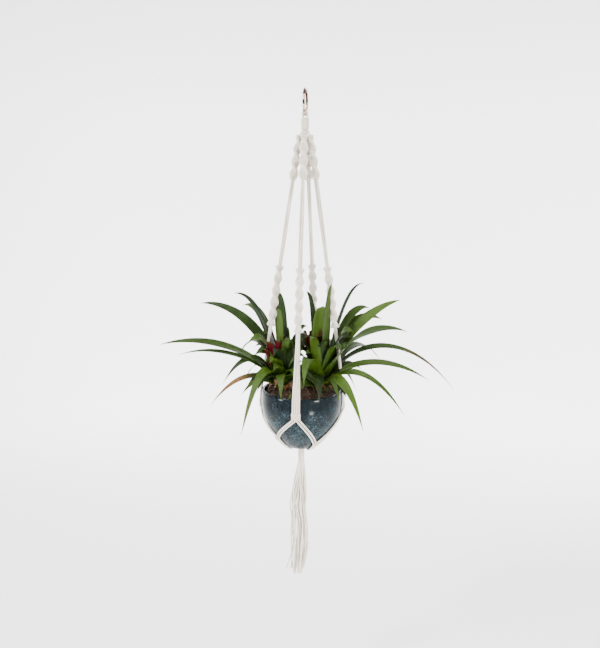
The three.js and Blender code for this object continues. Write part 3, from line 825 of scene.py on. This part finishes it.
strap = Finish("strap_leaf", Specular_IOR_Level=0.14)
along, across = strap.mark("along"), strap.mark("across")
tone, red, dry = strap.mark("tone"), strap.mark("red"), strap.mark("dry")
blotch = strap.place.noise(55, 4, 0.6)
veins = strap.place.node("ShaderNodeTexWave", {
    "Vector": strap.place.node("ShaderNodeCombineXYZ", {0: across * 0.5, 1: along * 0.3, 2: 0.0}),
    "Scale": 9.0, "Distortion": 0.6, "Detail": 1.0,
})
shade_of = (tone + (blotch - 0.5) * 0.5).between(0.0, 1.0)
leaf_green = shade_of.colour((0.0018, 0.0065, 0.0016), (0.036, 0.070, 0.0035))
leaf_green = (veins * 0.16).colour(leaf_green, (0.036, 0.065, 0.010))
base_pale = (1 - along.between(0.03, 0.2)) * 0.7
leaf_green = base_pale.colour(leaf_green, (0.085, 0.082, 0.016))
crimson = blotch.colour((0.016, 0.001, 0.003), (0.088, 0.002, 0.005))
green_foot = (1 - along.between(0.3, 0.6)) * red.between(1.0, 1.5)
reddened = red * (blotch * 0.6 + 0.7) - green_foot * 1.8
leaf_colour = reddened.between(0.15, 0.75).colour(leaf_green, crimson)
browned = (along + dry * 0.85 + blotch * 0.25).between(1.25, 1.5)
dead_brown = blotch.colour((0.030, 0.012, 0.005), (0.19, 0.095, 0.035))
leaf_colour = browned.colour(leaf_colour, dead_brown)
strap.lay(
    Base_Color=leaf_colour,
    Roughness=0.34 + blotch * 0.2,
    Normal=(veins * 0.5 + blotch * 0.4).relief(0.25, 0.0006),
)

# direction, reach, rise, tip height, width and sweep; light tone, red at the base, dry tip
LEFT_LEAVES = [
    (206, 259, 112, 112, 15, -9, 0.42, 0.0, 0.15),
    (147, 205, 150, 182, 19, 19, 0.30, 0.0, 0.1),
    (150, 124, 160, 176, 19, 0, 0.50, 0.1, 0.1),
    (157, 125, 170, 208, 12, 6, 0.22, 0.0, 0.3),
    (128, 62, 165, 198, 10, 0, 0.30, 0.0, 0.2),
    (206, 132, 98, 26, 16, -4, 0.28, 0.0, 0.1),
    (214, 166, 62, -8, 10, 0, 0.30, 0.0, 0.75),
    (243, 136, 92, -58, 17, -3, 0.62, 0.0, 0.35),
    (232, 20, 150, 184, 17, 0, 0.62, 0.15, 0.0),
    (100, 62, 180, 206, 14, 16, 0.26, 0.0, 0.1),
    (100, 165, 120, 60, 18, 6, 0.35, 0.0, 0.2),
    (133, 190, 115, 48, 17, 0, 0.30, 0.0, 0.2),
    (62, 150, 120, 66, 16, 0, 0.38, 0.0, 0.2),
    (298, 92, 76, 40, 14, 0, 0.50, 0.0, 0.1),
    (262, 70, 70, 66, 20, 0, 0.55, 0.0, 0.1),
    (222, 46, 70, 74, 20, 0, 0.60, 0.25, 0.0),
    (276, 36, 92, 102, 18, 0, 0.45, 0.0, 0.0),
    (250, 60, 84, 78, 22, 0, 0.60, 0.1, 0.0),
    (200, 64, 90, 84, 20, 0, 0.40, 0.1, 0.0),
    (305, 40, 110, 118, 18, 0, 0.30, 0.0, 0.0),
    (216, 224, 96, 84, 10, -24, 0.40, 0.0, 0.2),
]
RIGHT_LEAVES = [
    (-38, 30, 180, 242, 17, 0, 0.52, 0.0, 0.0),
    (36, 112, 190, 232, 8, 4, 0.15, 0.0, 0.2),
    (98, 36, 150, 184, 27, 0, 0.85, 0.0, 0.0),
    (30, 122, 160, 178, 19, 5, 0.50, 0.0, 0.1),
    (34, 164, 142, 206, 24, -26, 0.80, 0.0, 0.0),
    (-34, 180, 140, 150, 23, 22, 0.48, 0.0, 0.1),
    (38, 136, 150, 158, 22, -14, 0.55, 0.0, 0.1),
    (30, 278, 134, 26, 11, -31, 0.35, 0.0, 0.5),
    (-32, 236, 98, 62, 13, 12, 0.52, 0.0, 0.2),
    (-40, 204, 88, -4, 11, 10, 0.55, 0.0, 0.2),
    (-52, 150, 74, -36, 17, 2, 0.74, 0.0, 0.2),
    (-38, 34, 92, 104, 24, 0, 0.40, 0.2, 0.0),
    (246, 122, 108, 50, 23, 15, 0.58, 0.0, 0.1),
    (226, 86, 100, 74, 14, 0, 0.42, 0.0, 0.1),
    (205, 56, 116, 120, 18, 0, 0.30, 0.0, 0.0),
    (268, 40, 104, 112, 19, 0, 0.35, 0.0, 0.0),
    (-12, 70, 130, 140, 20, 0, 0.60, 0.0, 0.0),
    (80, 158, 118, 52, 18, 0, 0.36, 0.0, 0.2),
    (47, 192, 112, 46, 17, 4, 0.32, 0.0, 0.2),
    (118, 140, 122, 70, 16, 0, 0.40, 0.0, 0.2),
    (128, 66, 170, 214, 12, 0, 0.30, 0.0, 0.1),
]


def grow_leaf(piece, foot, leaf, rng, sheath=SHEATH_W):
    """One leaf: an arch that clasps the others at its foot and turns its face as it levels."""
    direction, reach, rise, tip, width, sweep, tone, red, dry = leaf
    t = np.linspace(0, 1, LEAF_STATIONS)
    lean = min(reach * 0.4, 17)
    stops = np.array([(6, 1), (9 + lean, rise * 0.66), (reach * 0.56, rise * 1.3), (reach, tip)], float)
    b = [(1 - t) ** 3, 3 * (1 - t) ** 2 * t, 3 * (1 - t) * t**2, t**3]
    line = sum(w[:, None] * p for w, p in zip(b, stops))
    slope = np.gradient(line, axis=0)
    slope /= np.linalg.norm(slope, axis=1, keepdims=True)
    blade = LEAF_FULL * width / 2 * np.minimum(0.7 + 1.2 * t, 1) * np.maximum(1 - t**3.4, 0.03)
    clasp = np.clip(1 - t / 0.3, 0, 1) ** 1.3
    half = blade + max(sheath - width / 2, 0) * clasp
    channel = 0.26 * (1 - 0.6 * t) + 0.5 * clasp
    sideways = around(math.radians(direction + sweep))[1]
    turned_over = -math.copysign(LEAF_ROLL * abs(sideways) ** 0.6, sideways)
    phase = rng.uniform(0, 2 * math.pi, 3)
    rings = []
    for i, q in enumerate(t):
        azimuth = math.radians(direction + sweep * q)
        out = radial(azimuth)
        up = out * -slope[i][1] + np.array([0, 0, slope[i][0]])
        flat = slope[i][0] ** 2
        roll = turned_over * flat * min(q / 0.45, 1) + 0.2 * math.sin(2.6 * q + phase[0]) * q
        side = around(azimuth) * math.cos(roll) - up * math.sin(roll)
        face = up * math.cos(roll) + around(azimuth) * math.sin(roll)
        wave = around(azimuth) * LEAF_WAVE * math.sin(5 * q + phase[1]) * q
        centre = foot + out * line[i][0] + (0, 0, line[i][1]) + wave
        ripple = 0.05 * np.sin(17 * q + phase[2] + 2 * LEAF_ACROSS) * np.abs(LEAF_ACROSS)
        lift = half[i] * (channel[i] * np.abs(LEAF_ACROSS) ** 1.3 + ripple)
        thick = LEAF_T * (1 - 0.6 * LEAF_ACROSS**2) * (1 - 0.5 * q) / 2
        top = centre + np.outer(half[i] * LEAF_ACROSS, side) + np.outer(lift + thick, face)
        under = centre + np.outer(half[i] * LEAF_ACROSS, side) + np.outer(lift - thick, face)
        rings.append(np.concatenate([top, under[::-1]]))
    both = np.concatenate([LEAF_ACROSS, LEAF_ACROSS[::-1]])
    along, across = t[:, None], both[None, :]
    piece.skin(rings, along=along, across=across, tone=tone, red=red * (1 - along), dry=dry)


def grow_heart(piece, foot, lean, reach, count, tall, rng):
    """Short crimson leaves that stand in the middle of the plant, around its water cup."""
    for k in range(count):
        direction = lean + 360 * k / count + rng.uniform(-12, 12)
        toward = 0.5 + 0.5 * math.cos(math.radians(direction - lean))
        height = tall * rng.uniform(0.84, 1.0)
        shape = (direction, 14 + reach * toward, height * 0.92, height, rng.uniform(12, 16), 0)
        grow_leaf(piece, foot, (*shape, 0.4, 1.9, 0), rng, HEART_SHEATH_W)


def husk(piece, foot, count, rng):
    """Short dead leaf bases that wrap the foot of the plant and lie out over the mix."""
    for k in range(count):
        direction = 360 * (k + rng.uniform(0.1, 0.9)) / count
        reach = rng.uniform(20, 38)
        rise = rng.uniform(22, 46)
        shape = (direction, reach, rise, rise * rng.uniform(0.2, 0.7), rng.uniform(11, 17), 0)
        grow_leaf(piece, foot, (*shape, 0.5, 0.0, rng.uniform(0.9, 1.5)), rng, HUSK_SHEATH_W)


def fill_in(piece, foot, count, rng):
    """The younger leaves between the long ones, which make the plant dense at its middle."""
    for k in range(count):
        direction = 360 * (k + rng.uniform(0.1, 0.9)) / count
        low = k % 2
        reach = rng.uniform(70, 112) if low else rng.uniform(34, 84)
        rise = rng.uniform(44, 76) if low else rng.uniform(92, 132)
        tip = rise * (rng.uniform(0.1, 0.6) if low else rng.uniform(0.8, 1.1))
        shape = (direction, reach, rise, tip, rng.uniform(14, 19), rng.uniform(-8, 8))
        grow_leaf(piece, foot, (*shape, rng.uniform(0.1, 0.6), 0.0, rng.uniform(0, 0.3)), rng)


for side_name, x, leaves, seed in (
    ("left", -PLANT_SPREAD, LEFT_LEAVES, 21),
    ("right", PLANT_SPREAD, RIGHT_LEAVES, 22),
):
    rng = np.random.default_rng(seed)
    foot = np.array([x, 0, SOIL_Z])
    plant = Piece(f"{side_name}_leaves")
    for leaf in leaves:
        grow_leaf(plant, foot, leaf, rng)
    fill_in(plant, foot, YOUNG_LEAVES, rng)
    husk(plant, foot, HUSKS, rng)
    plant = plant.make(strap, "leaf")
    hang(plant, f"{side_name}_bromeliad")
    heart = Piece(f"{side_name}_heart")
    if side_name == "left":
        grow_heart(heart, foot + (-12, 2, 0), 215, 44, 12, 126, rng)
    else:
        grow_heart(heart, foot + (-14, 6, 0), 170, 16, 7, 134, rng)
    heart = heart.make(strap, "leaf")
    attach(heart, "hanger")

# ---- Setting
# A plain pale floor well below the tassel that curves up into a wall all round. A key light,
# three small windows for the glaze to mirror, a back light, and two lights on the wall behind.
FLOOR_Z = -1.32
FLOOR_R = 2.6
COVE_R = 1.8
WALL_TOP = 4.5
WALL_SIDES = 96
PLANTER_MIDDLE = (0, 0, -0.5)

studio_paint = Finish("pale_studio", Roughness=0.95, Specular_IOR_Level=0.05)
clouds = studio_paint.place.noise(0.8)
studio_paint.lay(Base_Color=clouds.colour((0.93, 0.93, 0.93), (0.95, 0.95, 0.95)))
bends = np.linspace(0, math.pi / 2, 14)
cove = [(FLOOR_R + COVE_R * math.sin(q), FLOOR_Z + COVE_R * (1 - math.cos(q))) for q in bends]
profile = [(0.001, FLOOR_Z), (FLOOR_R * 0.5, FLOOR_Z), *cove, (FLOOR_R + COVE_R, WALL_TOP)]
a = np.linspace(0, 2 * math.pi, WALL_SIDES, endpoint=False)
corners = [(r * math.cos(q), r * math.sin(q), z) for r, z in profile for q in a]
sides = []
for start in range(0, (len(profile) - 1) * WALL_SIDES, WALL_SIDES):
    for j in range(WALL_SIDES):
        near, far = start + j, start + (j + 1) % WALL_SIDES
        sides.append((near, far, far + WALL_SIDES, near + WALL_SIDES))
mesh = bpy.data.meshes.new("studio_floor")
mesh.from_pydata(corners, [], sides)
mesh.shade_smooth()
mesh.materials.append(studio_paint.material)
floor = bpy.data.objects.new("studio_floor", mesh)
bpy.context.scene.collection.objects.link(floor)

world = bpy.data.worlds.new("studio")
bpy.context.scene.world = world
world.use_nodes = True
world.node_tree.nodes["Background"].inputs["Color"].default_value = (1, 1, 1, 1)
world.node_tree.nodes["Background"].inputs["Strength"].default_value = 2.0

for name, where, size, power, aimed_at in (
    ("key", (-1.5, -1.2, 1.1), 0.5, 82, PLANTER_MIDDLE),
    ("left_window", (-1.17, -0.94, -0.62), 0.3, 14, PLANTER_MIDDLE),
    ("right_window", (1.12, -1.0, -0.60), 0.34, 30, PLANTER_MIDDLE),
    ("low_window", (0.75, -1.1, -1.15), 0.24, 7, PLANTER_MIDDLE),
    ("back", (0.6, 2.0, 1.2), 1.2, 26, PLANTER_MIDDLE),
    ("left_wall_light", (-1.3, 1.6, 0.5), 1.2, 110, (-0.9, 3.6, -1.0)),
    ("right_wall_light", (1.3, 1.6, 0.5), 1.2, 110, (0.9, 3.6, -1.0)),
):
    lamp = bpy.data.lights.new(name, "AREA")
    lamp.size = size
    lamp.energy = power
    light = bpy.data.objects.new(name, lamp)
    bpy.context.scene.collection.objects.link(light)
    light.location = where
    aim = Vector(aimed_at) - light.location
    light.rotation_euler = aim.to_track_quat("-Z", "Y").to_euler()
